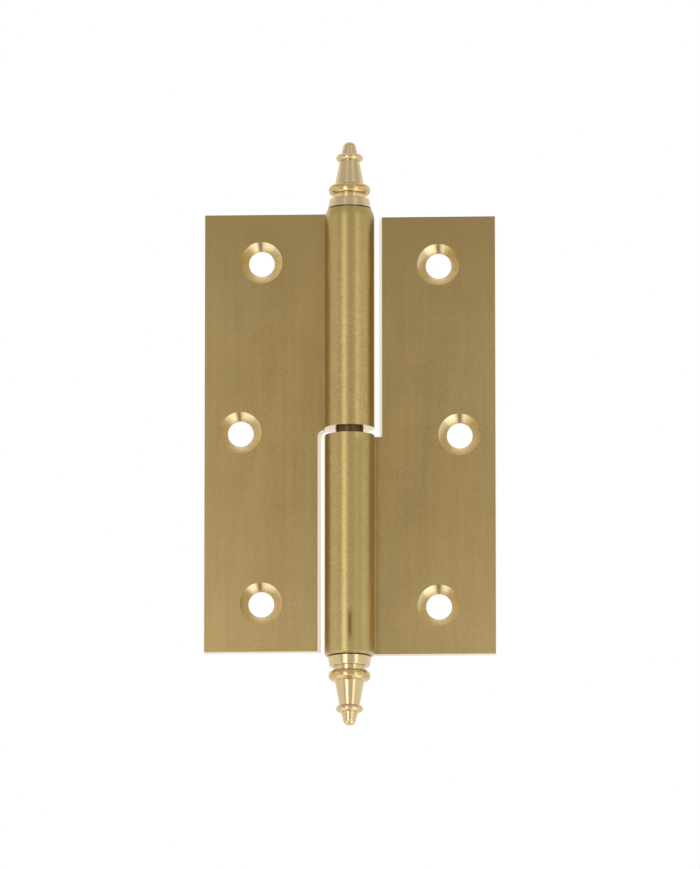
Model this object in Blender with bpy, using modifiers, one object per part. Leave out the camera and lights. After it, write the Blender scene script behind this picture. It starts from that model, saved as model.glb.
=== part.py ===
"""Lift-off door hinge with turned finials, shown opened flat.

The hinge axis is Z and the countersunk front faces look along -Y. The leaf on the -X side carries
the upper knuckle, which drops over the pin. The leaf on the +X side carries the lower knuckle and
stays on the frame. Both leaves are made by the same steps, with the knuckle up, and the lower one
is then given half a turn about the Y axis. They differ in how the knuckle's end and the notch's
inner corner are rounded.
"""

import math

import bmesh
import bpy
from mathutils import Matrix

MM = 0.001

# Leaves: flat plate, one to each side of the axis.
LEAF_HEIGHT = 100.0 * MM
LEAF_REACH = 32.7 * MM
LEAF_THICKNESS = 2.4 * MM
LEAF_SETBACK = 1.4 * MM
LEAF_STAGGER = 0.8 * MM

# Knuckles: a round barrel for each leaf, bored for the pin and crowned at its free end.
KNUCKLE_WALL = 2.4 * MM
KNUCKLE_GAP = 1.7 * MM
KNUCKLE_OVERHANG = 0.65 * MM
KNUCKLE_FILLET = 0.3 * MM
UPPER_CROWN_DEPTH = 0.65 * MM
UPPER_CROWN_HEIGHT = 2.4 * MM
LOWER_CROWN_DEPTH = 0.5 * MM
LOWER_CROWN_HEIGHT = 0.7 * MM

# Notch: what each leaf leaves free beside the other leaf's knuckle. Its side leans, so that it is
# wider at the front face than at the back.
NOTCH_CLEARANCE = 1.0 * MM
NOTCH_LEAN = 0.65 * MM
UPPER_NOTCH_CORNER = 1.5 * MM
LOWER_NOTCH_CORNER = 0.3 * MM

# Pin, and the clearances of what goes in the bore.
PIN_RADIUS = 3.1 * MM
PIN_NOSE = 0.9 * MM
PIN_CHAMFER = 0.4 * MM
BORE_CLEARANCE = 0.1 * MM
SEAT_GAP = 0.3 * MM

# Screw holes: three in each leaf, placed from its outer edge and its ends.
SCREW_HOLE_RADIUS = 2.9 * MM
COUNTERSINK_RADIUS = 4.75 * MM
COUNTERSINK_ANGLE = math.radians(90)
END_SCREW_FROM_END = 11.0 * MM
END_SCREW_FROM_EDGE = 12.75 * MM
MIDDLE_SCREW_FROM_EDGE = 8.05 * MM

# Finials: turned in one piece with the shank that plugs the bore.
SHANK_LENGTH = 8.3 * MM
SHANK_CHAMFER = 0.4 * MM
COLLAR_RADIUS = 4.85 * MM
COLLAR_TAPER = 0.3 * MM
COLLAR_HEIGHT = 2.05 * MM
COLLAR_EDGE = 0.25 * MM
NECK_RADIUS = 3.65 * MM
NECK_HEIGHT = 1.1 * MM
BEAD_FACE_RADIUS = 4.1 * MM
BEAD_RADIUS = 4.7 * MM
BEAD_WIDEST = 1.05 * MM
BEAD_HEIGHT = 2.3 * MM
CONE_FOOT_RADIUS = 3.27 * MM
CONE_TOP_RADIUS = 2.25 * MM
CONE_HEIGHT = 5.4 * MM
RING_RADIUS = 3.05 * MM
RING_WIDEST = 0.8 * MM
RING_HEIGHT = 1.65 * MM
TIP_FOOT_RADIUS = 1.87 * MM
TIP_STRAIGHT = 1.4 * MM
TIP_DOME_RADIUS = 1.5 * MM

# How finely round shapes are divided.
ROUND_STEPS = 64
FINIAL_STEPS = 48
HOLE_STEPS = 48
CROWN_STEPS = 5
CORNER_STEPS = 5
ARC_STEP = math.radians(15)

# How far a cutter runs past what it cuts, and points closer than this are one.
PAST = 2.0 * MM
NEAR = 0.0001 * MM

# Sizes that follow from the ones above.
BORE_RADIUS = PIN_RADIUS + BORE_CLEARANCE
KNUCKLE_RADIUS = BORE_RADIUS + KNUCKLE_WALL
LEAF_FRONT = LEAF_SETBACK
LEAF_BACK = LEAF_SETBACK + LEAF_THICKNESS
LEAF_MIDDLE = LEAF_STAGGER / 2
LEAF_TOP = LEAF_MIDDLE + LEAF_HEIGHT / 2
LEAF_FOOT = LEAF_MIDDLE - LEAF_HEIGHT / 2
KNUCKLE_FOOT = KNUCKLE_GAP / 2
KNUCKLE_TOP = LEAF_TOP + KNUCKLE_OVERHANG
NOTCH_EDGE = KNUCKLE_RADIUS + NOTCH_CLEARANCE
END_SCREW_FROM_AXIS = LEAF_REACH - END_SCREW_FROM_EDGE
MIDDLE_SCREW_FROM_AXIS = LEAF_REACH - MIDDLE_SCREW_FROM_EDGE
FINIAL_SEAT = KNUCKLE_TOP + SEAT_GAP
SHANK_END = FINIAL_SEAT - SHANK_LENGTH
PIN_END = SHANK_END - SEAT_GAP

BRASS_LEAF = (0.33, 0.24, 0.10)
BRASS_FINIAL = (0.58, 0.42, 0.17)
STEEL_PIN = (0.035, 0.028, 0.024)


def clear_scene():
    for existing in list(bpy.data.objects):
        bpy.data.objects.remove(existing, do_unlink=True)


def new_collection(name):
    collection = bpy.data.collections.new(name)
    bpy.context.scene.collection.children.link(collection)
    return collection


def metal(name, colour, roughness):
    material = bpy.data.materials.new(name)
    material.use_nodes = True
    shader = material.node_tree.nodes["Principled BSDF"]
    shader.inputs["Base Color"].default_value = (*colour, 1.0)
    shader.inputs["Metallic"].default_value = 1.0
    shader.inputs["Roughness"].default_value = roughness
    return material


def add_object(name, data, collection):
    thing = bpy.data.objects.new(name, data)
    collection.objects.link(thing)
    return thing


def arc(centre, radius, start, end):
    """Points on an arc from one angle to another, both ends included, at most ARC_STEP apart."""
    steps = max(2, math.ceil(abs(end - start) / ARC_STEP))
    angles = [start + (end - start) * step / steps for step in range(steps + 1)]
    return [
        (centre[0] + radius * math.cos(angle), centre[1] + radius * math.sin(angle))
        for angle in angles
    ]


def plain_mesh(name, thing, collection):
    """The evaluated shape of an object as a plain mesh. The object itself is removed."""
    bpy.context.view_layer.update()
    evaluated = thing.evaluated_get(bpy.context.evaluated_depsgraph_get())
    mesh = bpy.data.meshes.new_from_object(evaluated)
    mesh.name = name
    placed = add_object(name, mesh, collection)
    placed.matrix_world = thing.matrix_world
    bpy.data.objects.remove(thing, do_unlink=True)
    return placed


def extruded(name, outline, low, high, collection):
    """A flat outline in X and Y, drawn out along Z from low to high, with its caps welded on."""
    curve = bpy.data.curves.new(name + "_outline", "CURVE")
    curve.dimensions = "2D"
    curve.fill_mode = "BOTH"
    curve.extrude = (high - low) / 2
    spline = curve.splines.new("POLY")
    spline.points.add(len(outline) - 1)
    for point, (x, y) in zip(spline.points, outline):
        point.co = (x, y, 0.0, 1.0)
    spline.use_cyclic_u = True
    drawn = add_object(name + "_outline", curve, collection)
    drawn.location = (0.0, 0.0, (low + high) / 2)
    block = plain_mesh(name, drawn, collection)
    shape = bmesh.new()
    shape.from_mesh(block.data)
    bmesh.ops.remove_doubles(shape, verts=shape.verts, dist=NEAR)
    bmesh.ops.transform(shape, matrix=block.matrix_world, verts=shape.verts)
    shape.to_mesh(block.data)
    shape.free()
    block.matrix_world = Matrix.Identity(4)
    return block


def turned(name, profile, steps, collection):
    """A profile of (radius, height) points, running down its outer side, turned about Z."""
    mesh = bpy.data.meshes.new(name)
    points = [(radius, 0.0, height) for radius, height in profile]
    edges = [(i, i + 1) for i in range(len(points) - 1)]
    mesh.from_pydata(points, edges, [])
    thing = add_object(name, mesh, collection)
    screw = thing.modifiers.new("Turn", "SCREW")
    screw.axis = "Z"
    screw.steps = steps
    screw.render_steps = steps
    screw.use_merge_vertices = True
    screw.merge_threshold = NEAR
    screw.use_smooth_shade = True
    return thing


def hide_cutter(cutter):
    cutter.hide_render = True
    cutter.display_type = "WIRE"


def combine(body, tool, operation):
    """Joins a tool to the body with UNION, or takes it away with DIFFERENCE."""
    hide_cutter(tool)
    boolean = body.modifiers.new(tool.name, "BOOLEAN")
    boolean.operation = operation
    boolean.solver = "EXACT"
    boolean.object = tool


def plate_section():
    """Outline of the plate seen along Z. Its fillets lead into the barrel, where it ends unseen."""
    tangent = KNUCKLE_RADIUS + KNUCKLE_FILLET
    front_y = LEAF_FRONT - KNUCKLE_FILLET
    front_x = math.sqrt(tangent**2 - front_y**2)
    back_y = LEAF_BACK + KNUCKLE_FILLET
    back_x = math.sqrt(tangent**2 - back_y**2)
    front_meets = math.atan2(-front_y, front_x)
    back_meets = math.atan2(-back_y, back_x)
    inside = KNUCKLE_RADIUS - KNUCKLE_WALL / 2
    outline = [(-LEAF_REACH, LEAF_FRONT)]
    outline += arc((-front_x, front_y), KNUCKLE_FILLET, math.pi / 2, front_meets)
    outline.append((-inside * math.cos(front_meets), -inside * math.sin(front_meets)))
    outline.append((-inside * math.cos(back_meets), -inside * math.sin(back_meets)))
    outline += arc((-back_x, back_y), KNUCKLE_FILLET, back_meets, -math.pi / 2)
    outline.append((-LEAF_REACH, LEAF_BACK))
    return outline


def barrel(name, crown_depth, crown_height, collection):
    """The knuckle's round barrel, long enough for the notch cutter to trim its foot.

    Its crown draws it in along a parabola at the free end.
    """
    profile = [(0.0, KNUCKLE_TOP)]
    for step in range(CROWN_STEPS + 1):
        down = step / CROWN_STEPS
        radius = KNUCKLE_RADIUS - crown_depth * (1 - down) ** 2
        profile.append((radius, KNUCKLE_TOP - crown_height * down))
    profile.append((KNUCKLE_RADIUS, KNUCKLE_FOOT - PAST))
    profile.append((0.0, KNUCKLE_FOOT - PAST))
    return turned(name, profile, ROUND_STEPS, collection)


def notch_cutter(name, corner_radius, collection):
    """Frees the space beside the other knuckle, with a leaning side and a rounded inner corner."""
    slope = NOTCH_LEAN / LEAF_THICKNESS
    outside = KNUCKLE_RADIUS + PAST
    outline = [
        (-NOTCH_EDGE + slope * (outside - LEAF_BACK), outside),
        (-NOTCH_EDGE - slope * (outside + LEAF_BACK), -outside),
        (outside, -outside),
        (outside, outside),
    ]
    cutter = extruded(name, outline, LEAF_FOOT - PAST, KNUCKLE_FOOT, collection)
    shape = bmesh.new()
    shape.from_mesh(cutter.data)
    inner_corner = [
        edge for edge in shape.edges if all(v.co.z > KNUCKLE_FOOT - NEAR and v.co.x < 0 for v in edge.verts)
    ]
    bmesh.ops.bevel(
        shape, geom=inner_corner, offset=corner_radius, segments=CORNER_STEPS, profile=0.5, affect="EDGES"
    )
    shape.to_mesh(cutter.data)
    shape.free()
    return cutter


def bore_cutter(collection):
    profile = [
        (0.0, KNUCKLE_TOP + PAST),
        (BORE_RADIUS, KNUCKLE_TOP + PAST),
        (BORE_RADIUS, KNUCKLE_FOOT - PAST),
        (0.0, KNUCKLE_FOOT - PAST),
    ]
    return turned("bore_cutter", profile, ROUND_STEPS, collection)


def screw_cutter(name, from_axis, height, collection):
    """A countersunk hole from the plate's front face right through it."""
    slope = math.tan(COUNTERSINK_ANGLE / 2)
    cone_depth = (COUNTERSINK_RADIUS - SCREW_HOLE_RADIUS) / slope
    profile = [
        (0.0, PAST),
        (COUNTERSINK_RADIUS + PAST * slope, PAST),
        (SCREW_HOLE_RADIUS, -cone_depth),
        (SCREW_HOLE_RADIUS, -LEAF_THICKNESS - PAST),
        (0.0, -LEAF_THICKNESS - PAST),
    ]
    cutter = turned(name, profile, HOLE_STEPS, collection)
    cutter.rotation_euler = (math.radians(90), 0.0, 0.0)
    cutter.location = (-from_axis, LEAF_FRONT, height)
    return cutter


def leaf_cutters(collection):
    """The bore and the three screw holes, which both leaves share."""
    end_height = LEAF_HEIGHT / 2 - END_SCREW_FROM_END
    return [
        bore_cutter(collection),
        screw_cutter("top_screw_cutter", END_SCREW_FROM_AXIS, LEAF_MIDDLE + end_height, collection),
        screw_cutter("middle_screw_cutter", MIDDLE_SCREW_FROM_AXIS, LEAF_MIDDLE, collection),
        screw_cutter("foot_screw_cutter", END_SCREW_FROM_AXIS, LEAF_MIDDLE - end_height, collection),
    ]


def knuckle_up_leaf(name, round_barrel, notch, shared_cutters, parts):
    """A leaf with its knuckle up: plate and barrel in one, then notched, bored and drilled."""
    leaf = extruded(name, plate_section(), LEAF_FOOT, LEAF_TOP, parts)
    combine(leaf, round_barrel, "UNION")
    combine(leaf, notch, "DIFFERENCE")
    for cutter in shared_cutters:
        combine(leaf, cutter, "DIFFERENCE")
    return leaf


def both_leaves(parts, cutters):
    shared = leaf_cutters(cutters)
    upper = knuckle_up_leaf(
        "upper_leaf",
        barrel("upper_barrel", UPPER_CROWN_DEPTH, UPPER_CROWN_HEIGHT, cutters),
        notch_cutter("upper_notch_cutter", UPPER_NOTCH_CORNER, cutters),
        shared,
        parts,
    )
    blank = knuckle_up_leaf(
        "lower_leaf_blank",
        barrel("lower_barrel", LOWER_CROWN_DEPTH, LOWER_CROWN_HEIGHT, cutters),
        notch_cutter("lower_notch_cutter", LOWER_NOTCH_CORNER, cutters),
        shared,
        parts,
    )
    lower = plain_mesh("lower_leaf", blank, parts)
    lower.rotation_euler = (0.0, math.pi, 0.0)
    return upper, lower


def swell(rim, top_radius, foot_radius, foot, widest, height):
    """A bead as points from its top to its foot: two quarter ellipses that meet where it is widest."""
    quarter = arc((0.0, 0.0), 1.0, math.pi / 2, 0.0)
    above = [
        (top_radius + (rim - top_radius) * x, foot + widest + (height - widest) * y) for x, y in quarter
    ]
    below = [(foot_radius + (rim - foot_radius) * x, foot + widest - widest * y) for x, y in quarter]
    below.reverse()
    return above + below[1:]


def finial_profile():
    """From the tip down: domed tip, small ring, cone, bead, neck, collar, then the shank."""
    neck = COLLAR_HEIGHT
    bead = neck + NECK_HEIGHT
    cone = bead + BEAD_HEIGHT
    ring = cone + CONE_HEIGHT
    tip = ring + RING_HEIGHT
    shank = BORE_RADIUS - BORE_CLEARANCE
    profile = arc((0.0, tip + TIP_STRAIGHT), TIP_DOME_RADIUS, math.pi / 2, 0.0)
    profile[0] = (0.0, profile[0][1])
    profile += swell(RING_RADIUS, TIP_FOOT_RADIUS, CONE_TOP_RADIUS, ring, RING_WIDEST, RING_HEIGHT)
    profile += swell(BEAD_RADIUS, CONE_FOOT_RADIUS, BEAD_FACE_RADIUS, bead, BEAD_WIDEST, BEAD_HEIGHT)
    profile.append((NECK_RADIUS, bead))
    profile.append((NECK_RADIUS, neck))
    rim = COLLAR_RADIUS - COLLAR_TAPER - COLLAR_EDGE
    profile += arc((rim, neck - COLLAR_EDGE), COLLAR_EDGE, math.pi / 2, 0.0)
    profile.append((COLLAR_RADIUS, 0.0))
    profile.append((shank, 0.0))
    profile.append((shank, SHANK_CHAMFER - SHANK_LENGTH))
    profile.append((shank - SHANK_CHAMFER, -SHANK_LENGTH))
    profile.append((0.0, -SHANK_LENGTH))
    return profile


def finial(name, end, parts):
    """A finial on the top end (+1) or on the bottom end (-1) of the barrel."""
    thing = turned(name, finial_profile(), FINIAL_STEPS, parts)
    thing.location = (0.0, 0.0, end * FINIAL_SEAT)
    if end < 0:
        thing.rotation_euler = (0.0, math.pi, 0.0)
    return thing


def hinge_pin(parts):
    """Runs in both knuckles and bears on the upper finial's shank with its domed nose."""
    dome_radius = (PIN_RADIUS**2 + PIN_NOSE**2) / (2 * PIN_NOSE)
    spread = math.asin(min(1.0, PIN_RADIUS / dome_radius))
    profile = arc((0.0, PIN_END - dome_radius), dome_radius, math.pi / 2, math.pi / 2 - spread)
    profile[0] = (0.0, PIN_END)
    profile.append((PIN_RADIUS, PIN_CHAMFER - PIN_END))
    profile.append((PIN_RADIUS - PIN_CHAMFER, -PIN_END))
    profile.append((0.0, -PIN_END))
    return turned("hinge_pin", profile, ROUND_STEPS, parts)


def main():
    clear_scene()
    parts = new_collection("paumelle_hinge")
    cutters = new_collection("hinge_cutters")
    leaf_above, leaf_below = both_leaves(parts, cutters)
    pin = hinge_pin(parts)
    finial_above = finial("top_finial", 1, parts)
    finial_below = finial("bottom_finial", -1, parts)
    finishes = [
        (leaf_above, metal("upper_leaf_brass", BRASS_LEAF, 0.38)),
        (leaf_below, metal("lower_leaf_brass", BRASS_LEAF, 0.38)),
        (pin, metal("pin_steel", STEEL_PIN, 0.4)),
        (finial_above, metal("top_finial_brass", BRASS_FINIAL, 0.16)),
        (finial_below, metal("bottom_finial_brass", BRASS_FINIAL, 0.16)),
    ]
    for thing, material in finishes:
        thing.data.materials.clear()
        thing.data.materials.append(material)
        thing.data.shade_smooth()
    for leaf in (leaf_above, leaf_below):
        leaf.data.set_sharp_from_angle(angle=math.radians(30))


main()
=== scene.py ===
# %% [markdown]
# # A lift-off door hinge in brass
#
# The French call this hinge a paumelle. It has two leaves, and each leaf carries one knuckle. The
# leaf on the left drops over a steel pin and lifts off again, so that a door can be taken down
# without a screwdriver. A small turned finial plugs each end of the barrel.
#
# The frame that is loaded here holds the sizes, the places and the motion. This script only
# dresses it: it makes a finer mesh for each piece, gives it the finish of the real metal, and sets
# up the stage, the lamps and the camera.

# %% Load the frame
import math

import bmesh
import bpy
from mathutils import Matrix, Vector


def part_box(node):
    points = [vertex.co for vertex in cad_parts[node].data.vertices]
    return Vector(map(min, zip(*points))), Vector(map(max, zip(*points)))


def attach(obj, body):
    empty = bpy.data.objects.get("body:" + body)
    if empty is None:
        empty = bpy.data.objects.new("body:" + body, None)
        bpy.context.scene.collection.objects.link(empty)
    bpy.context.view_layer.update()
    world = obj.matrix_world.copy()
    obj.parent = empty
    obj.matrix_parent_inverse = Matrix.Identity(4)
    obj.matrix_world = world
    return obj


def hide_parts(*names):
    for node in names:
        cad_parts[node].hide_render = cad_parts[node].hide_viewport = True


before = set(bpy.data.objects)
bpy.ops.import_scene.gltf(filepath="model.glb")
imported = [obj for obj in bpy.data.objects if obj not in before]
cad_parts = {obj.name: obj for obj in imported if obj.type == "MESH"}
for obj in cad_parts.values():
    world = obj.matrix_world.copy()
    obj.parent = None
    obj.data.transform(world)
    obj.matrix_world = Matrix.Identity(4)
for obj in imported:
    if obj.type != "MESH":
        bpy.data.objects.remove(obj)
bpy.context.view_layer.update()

print("nodes:", sorted(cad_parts))

# %% [markdown]
# ## Sizes
#
# A size that the frame already has is read from it, so that the two never disagree. What a box
# can't tell, such as the plate's thickness, is a named value in millimetres. The upper leaf is
# measured, because the lower one is the same leaf given half a turn.

# %% Read the sizes
MM = 0.001

leaf_low, leaf_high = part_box("upper_leaf")
pin_low, pin_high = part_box("hinge_pin")

LEAF_REACH = -leaf_low.x
LEAF_THICKNESS = 2.4 * MM
LEAF_FRONT = 1.4 * MM
LEAF_BACK = LEAF_FRONT + LEAF_THICKNESS
LEAF_HEIGHT = 100.0 * MM
LEAF_FOOT = leaf_low.z
LEAF_TOP = LEAF_FOOT + LEAF_HEIGHT
LEAF_MIDDLE = (LEAF_FOOT + LEAF_TOP) / 2

KNUCKLE_RADIUS = -leaf_low.y
KNUCKLE_TOP = leaf_high.z
KNUCKLE_FOOT = 0.85 * MM
KNUCKLE_FILLET = 0.3 * MM
PIN_RADIUS = pin_high.x
BORE_RADIUS = PIN_RADIUS + 0.1 * MM

NOTCH_EDGE = KNUCKLE_RADIUS + 1.0 * MM
NOTCH_LEAN = 0.65 * MM

SCREW_PITCH = LEAF_HEIGHT / 2 - 11.0 * MM
END_SCREW_FROM_AXIS = LEAF_REACH - 12.75 * MM
MIDDLE_SCREW_FROM_AXIS = LEAF_REACH - 8.05 * MM
SCREW_HOLE_RADIUS = 2.9 * MM
COUNTERSINK_RADIUS = 4.75 * MM

print("leaf reach, height (mm):", round(LEAF_REACH / MM, 2), round(LEAF_HEIGHT / MM, 2))
print("knuckle radius (mm):", round(KNUCKLE_RADIUS / MM, 2))

# %% [markdown]
# ## The camera
#
# The photo was taken from a little below the hinge and a touch to its right: the undersides of
# the upper knuckle and of the collars show, and the level edges rise slightly to the right. A
# long lens from over two metres away keeps the leaves' sides nearly parallel.

# %% Place the camera
CAMERA_DISTANCE = 2.4
CAMERA_AZIMUTH = math.radians(2.6)
CAMERA_ELEVATION = math.radians(-10.95)
CAMERA_TARGET = Vector((0.10, 0.0, -0.51)) * MM
PHOTO_LONG_SIDE = 869
PIXELS_PER_MM = 4.452
SENSOR = 36.0

camera_data = bpy.data.cameras.new("photo_camera")
camera_data.sensor_width = SENSOR
focal_pixels = PIXELS_PER_MM * CAMERA_DISTANCE / MM
camera_data.lens = focal_pixels / PHOTO_LONG_SIDE * SENSOR
camera_data.clip_start = 0.05
camera_data.clip_end = 20.0
camera = bpy.data.objects.new("photo_camera", camera_data)
bpy.context.scene.collection.objects.link(camera)
towards_camera = Vector((
    math.sin(CAMERA_AZIMUTH) * math.cos(CAMERA_ELEVATION),
    -math.cos(CAMERA_AZIMUTH) * math.cos(CAMERA_ELEVATION),
    math.sin(CAMERA_ELEVATION),
))
camera.location = CAMERA_TARGET + towards_camera * CAMERA_DISTANCE
camera.rotation_mode = "QUATERNION"
camera.rotation_quaternion = (-towards_camera).to_track_quat("-Z", "Y")
bpy.context.scene.camera = camera
print("lens (mm):", round(camera_data.lens, 1))

# %% [markdown]
# ## Colours and nodes
#
# Colours are written as on the web, in sRGB, and one function turns them into the linear values
# that Blender's light needs. One small function adds a node with its settings and links, in
# materials and in Geometry Nodes alike, and another starts each metal.

# %% Helpers for colours and nodes
def linear(code):
    """A colour such as 'b08d57' as linear red, green, blue and alpha."""
    channels = [int(code[start:start + 2], 16) / 255 for start in (0, 2, 4)]
    return tuple(
        c / 12.92 if c <= 0.04045 else ((c + 0.055) / 1.055) ** 2.4 for c in channels
    ) + (1.0,)


def add_node(tree, kind, inputs=None, **settings):
    """Adds one node. inputs maps a socket's name or number to a value or another node's output."""
    node = tree.nodes.new(kind)
    for name, value in settings.items():
        setattr(node, name, value)
    for key, value in (inputs or {}).items():
        if isinstance(value, bpy.types.NodeSocket):
            tree.links.new(value, node.inputs[key])
        else:
            node.inputs[key].default_value = value
    return node


def new_metal(name):
    """A new metal, with its node tree and its shader."""
    material = bpy.data.materials.new(name)
    material.use_nodes = True
    tree = material.node_tree
    shader = tree.nodes["Principled BSDF"]
    shader.inputs["Metallic"].default_value = 1.0
    return material, tree, shader


print("brass sample:", [round(c, 3) for c in linear("b08d57")])

# %% [markdown]
# ## Zones of colour
#
# Brass that has been made, handled and stored is not one colour all over. A picture could carry
# the changes, but each of them follows a rule here, so a few limits describe it. A limit is a
# reading, such as a height or a noise, with the values at which the zone ends and is full. The
# product of the limits is the share of the zone's colour in the metal.

# %% Helper for zones of colour
def zoned(tree, body, colour, most, limits):
    """Mixes a zone's colour into the body. A limit is a reading, its end and where it is full."""
    share = most
    for reading, ends_at, full_at in limits:
        fade = add_node(tree, "ShaderNodeMapRange",
                        {"Value": reading, "From Min": ends_at, "From Max": full_at})
        share = add_node(tree, "ShaderNodeMath", {0: share, 1: fade.outputs[0]},
                         operation="MULTIPLY").outputs[0]
    return add_node(tree, "ShaderNodeMix", {"Factor": share, "A": body, "B": linear(colour)},
                    data_type="RGBA").outputs["Result"]


print("zone helper ready")

# %% [markdown]
# ## Painted light and shade on the satin brass
#
# Where a barrel runs into its own leaf, the barrel's side is painted lighter: a painted reflection,
# in place of the darker brass it mirrors there. A leaf runs into its barrel where x and z differ
# in sign, so the product of the two tells this corner from the notch's side. Towards the leaves'
# outer edges and lower ends the brass is painted a little lighter, and at the top a little deeper,
# which is painted light and shade. The lower barrel has a darker stripe, right of the middle,
# which is painted shade over its right highlight, and a short dark mark near its foot. Both depend
# on x and z alone, so they show at the back too.

# %% Place the painted light and shade
# Between these distances from the axis a barrel's side next to its own leaf is painted lighter:
# painted light.
LIMB_LIGHT_STARTS, LIMB_LIGHT_FULL = 4.1 * MM, 4.65 * MM
LIMB_LIGHT_FADES, LIMB_LIGHT_ENDS = 5.35 * MM, 5.6 * MM
SIDE_STEP = 1e-9
# Painted light towards the outer edges and the lower ends, and painted shade at the top.
OUTER_LIGHT_FROM, OUTER_LIGHT_TO, OUTER_LIGHT_SHARE = 17 * MM, 32 * MM, 0.13
FOOT_FROM, FOOT_TO, FOOT_SHARE = -16 * MM, -46 * MM, 0.16
TOP_FROM, TOP_TO, TOP_SHARE = 26 * MM, 48 * MM, 0.6
MARK_FADE = 2.5 * MM
# Colour, middle, reach, foot and top of each mark.
BARREL_SHADE_AND_MARKS = [
    # The first is painted shade over the lower barrel's right highlight; the second is a short dark
    # mark.
    ("9c8754", 2.15 * MM, 1.15 * MM, -60.0 * MM, -1.0 * MM),
    ("866c3d", 0.32 * MM, 0.75 * MM, -49.0 * MM, -40.5 * MM),
]


def painted_light_and_marks(tree, place, body, deep, lit_tone, marks):
    """Mixes painted light and shade, and the marks, into the body. A mark is a colour, middle,
    reach, foot and top.
    """
    split = add_node(tree, "ShaderNodeSeparateXYZ", {"Vector": place})
    sideways, height = split.outputs["X"], split.outputs["Z"]
    away = add_node(tree, "ShaderNodeMath", {0: sideways}, operation="ABSOLUTE").outputs[0]
    side = add_node(tree, "ShaderNodeMath", {0: sideways, 1: height},
                    operation="MULTIPLY").outputs[0]
    # Painted light: the barrel's side next to its own leaf is made lighter, a painted reflection.
    corner = [
        (away, LIMB_LIGHT_STARTS, LIMB_LIGHT_FULL),
        (away, LIMB_LIGHT_ENDS, LIMB_LIGHT_FADES),
        (side, 0.0, -SIDE_STEP),
    ]
    # Painted light towards the outer edges and the lower ends, then painted shade at the top.
    body = zoned(tree, body, lit_tone, OUTER_LIGHT_SHARE, [(away, OUTER_LIGHT_FROM, OUTER_LIGHT_TO)])
    body = zoned(tree, body, lit_tone, FOOT_SHARE, [(height, FOOT_FROM, FOOT_TO)])
    body = zoned(tree, body, deep, TOP_SHARE, [(height, TOP_FROM, TOP_TO)])
    body = zoned(tree, body, lit_tone, 1.0, corner)
    for colour, middle, reach, foot, top in marks:
        off = add_node(tree, "ShaderNodeMath", {0: sideways, 1: middle}, operation="SUBTRACT")
        apart = add_node(tree, "ShaderNodeMath", {0: off.outputs[0]}, operation="ABSOLUTE")
        body = zoned(tree, body, colour, 1.0, [
            (apart.outputs[0], reach, 0.0),
            (height, foot, foot + MARK_FADE),
            (height, top, top - MARK_FADE),
        ])
    return body


print("marks on the barrel:", len(BARREL_SHADE_AND_MARKS))

# %% [markdown]
# ## Satin brass, brushed two ways
#
# The leaves were finished on a belt that ran along the hinge, and the barrels were turned against
# one. A belt leaves long fine scratches, so a highlight is smeared across them and stays short
# along them. That is anisotropy: the tangent is square to the scratches, so it lies level on a
# leaf and upright on a barrel. The scratches are a noise stretched along their own direction. Real
# ones are about 0.05 mm apart, finer than a pixel here, so they are drawn 0.25 mm apart to show.
# Wider streaks, clouds and a fine mottle go with them.

# %% Draw the brushing
SCRATCH_SPACING = 0.25 * MM
SCRATCH_LENGTH = 5.0 * MM
STREAK_WIDTH = 1.1 * MM
STREAK_LENGTH = 26.0 * MM
CLOUD_SIZE = 7.0 * MM
MOTTLE_SIZE = 0.7 * MM


def brushing(tree, place, along_axis):
    """Four noises: scratches and streaks, which run with the belt, and clouds and mottle."""
    fine, fine_run = 1 / SCRATCH_SPACING, 1 / SCRATCH_LENGTH
    wide, wide_run = 1 / STREAK_WIDTH, 1 / STREAK_LENGTH
    if along_axis:
        scales = [(fine, fine, fine_run), (wide, wide, wide_run)]
    else:
        scales = [(fine_run, fine_run, fine), (wide_run, wide_run, wide)]
    scales += [(1 / CLOUD_SIZE,) * 3, (1 / MOTTLE_SIZE,) * 3]
    noises = []
    for scale, detail in zip(scales, (2.0, 3.0, 4.0, 3.0)):
        stretched = add_node(tree, "ShaderNodeMapping", {"Vector": place, "Scale": scale})
        noise = add_node(tree, "ShaderNodeTexNoise", {"Vector": stretched.outputs[0], "Scale": 1.0,
                                                      "Detail": detail})
        noises.append(noise.outputs["Fac"])
    return noises


def square_to_brushing(tree, along_axis):
    """The direction in which a highlight is smeared: level on a leaf, upright on a barrel."""
    if along_axis:
        surface = add_node(tree, "ShaderNodeNewGeometry").outputs["Normal"]
        return add_node(tree, "ShaderNodeVectorMath", {0: surface, 1: (0.0, 0.0, 1.0)},
                        operation="CROSS_PRODUCT").outputs[0]
    return add_node(tree, "ShaderNodeCombineXYZ", {"Z": 1.0}).outputs[0]


print("scratches and streaks (mm):", SCRATCH_SPACING / MM, STREAK_WIDTH / MM)

# %% [markdown]
# ## One finish, two metals
#
# Gloss and relief come from the same scratches, so that they agree. Streaks, clouds and mottle
# shift the tone between a deep and a light brass. The leaves show more of the streaks, and the
# barrels, which are a little lighter and duller, more of the mottle.

# %% Make the satin brass
CLOUD_SHARE = 0.24
TONE_DEEP, TONE_LIGHT = 0.38, 0.62
SCRATCH_LOW, SCRATCH_HIGH = 0.3, 0.7
SATIN_SPREAD = 0.03
SCRATCH_DEPTH = 0.012 * MM
SCRATCH_STRENGTH = 0.25
SATIN_ANISOTROPY = 0.75


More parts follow.
